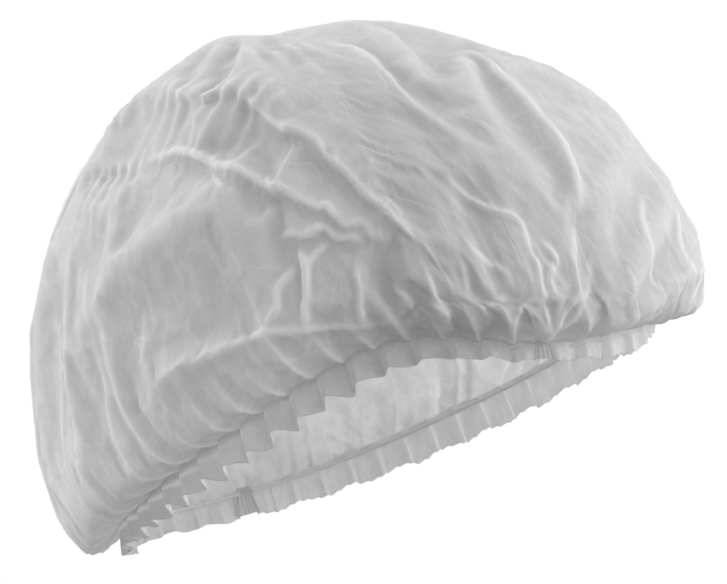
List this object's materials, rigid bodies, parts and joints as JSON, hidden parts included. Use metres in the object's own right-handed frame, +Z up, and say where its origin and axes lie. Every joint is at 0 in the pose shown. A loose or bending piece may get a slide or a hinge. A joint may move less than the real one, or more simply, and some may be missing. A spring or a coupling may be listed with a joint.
{
  "type": "disposable hair cover cap",
  "caption": "Puffed, pleated nonwoven hair cap, gathered by elastic at the rim above a short ruffled frill and sealed at front and back.",
  "frame": {"origin": "middle of the rim's opening, where a head fills it", "axes": "+X to the wearer's face, +Y to the wearer's left, +Z up; the rim's plane is tilted 22 degrees, front high"},
  "size_m": [0.2496, 0.2035, 0.1819],
  "materials": {
    "cloth": "thin matte nonwoven, slightly see-through",
    "elastic": "matte covered thread",
    "sealed_cloth": "heat sealed, smoother and denser than the cloth"
  },
  "bodies": {
    "root": {"crown": "cloth", "frill_right": "cloth", "frill_left": "cloth", "elastic_right": "elastic", "elastic_left": "elastic", "weld_front": "sealed_cloth", "weld_back": "sealed_cloth"}
  },
  "joints": []
}
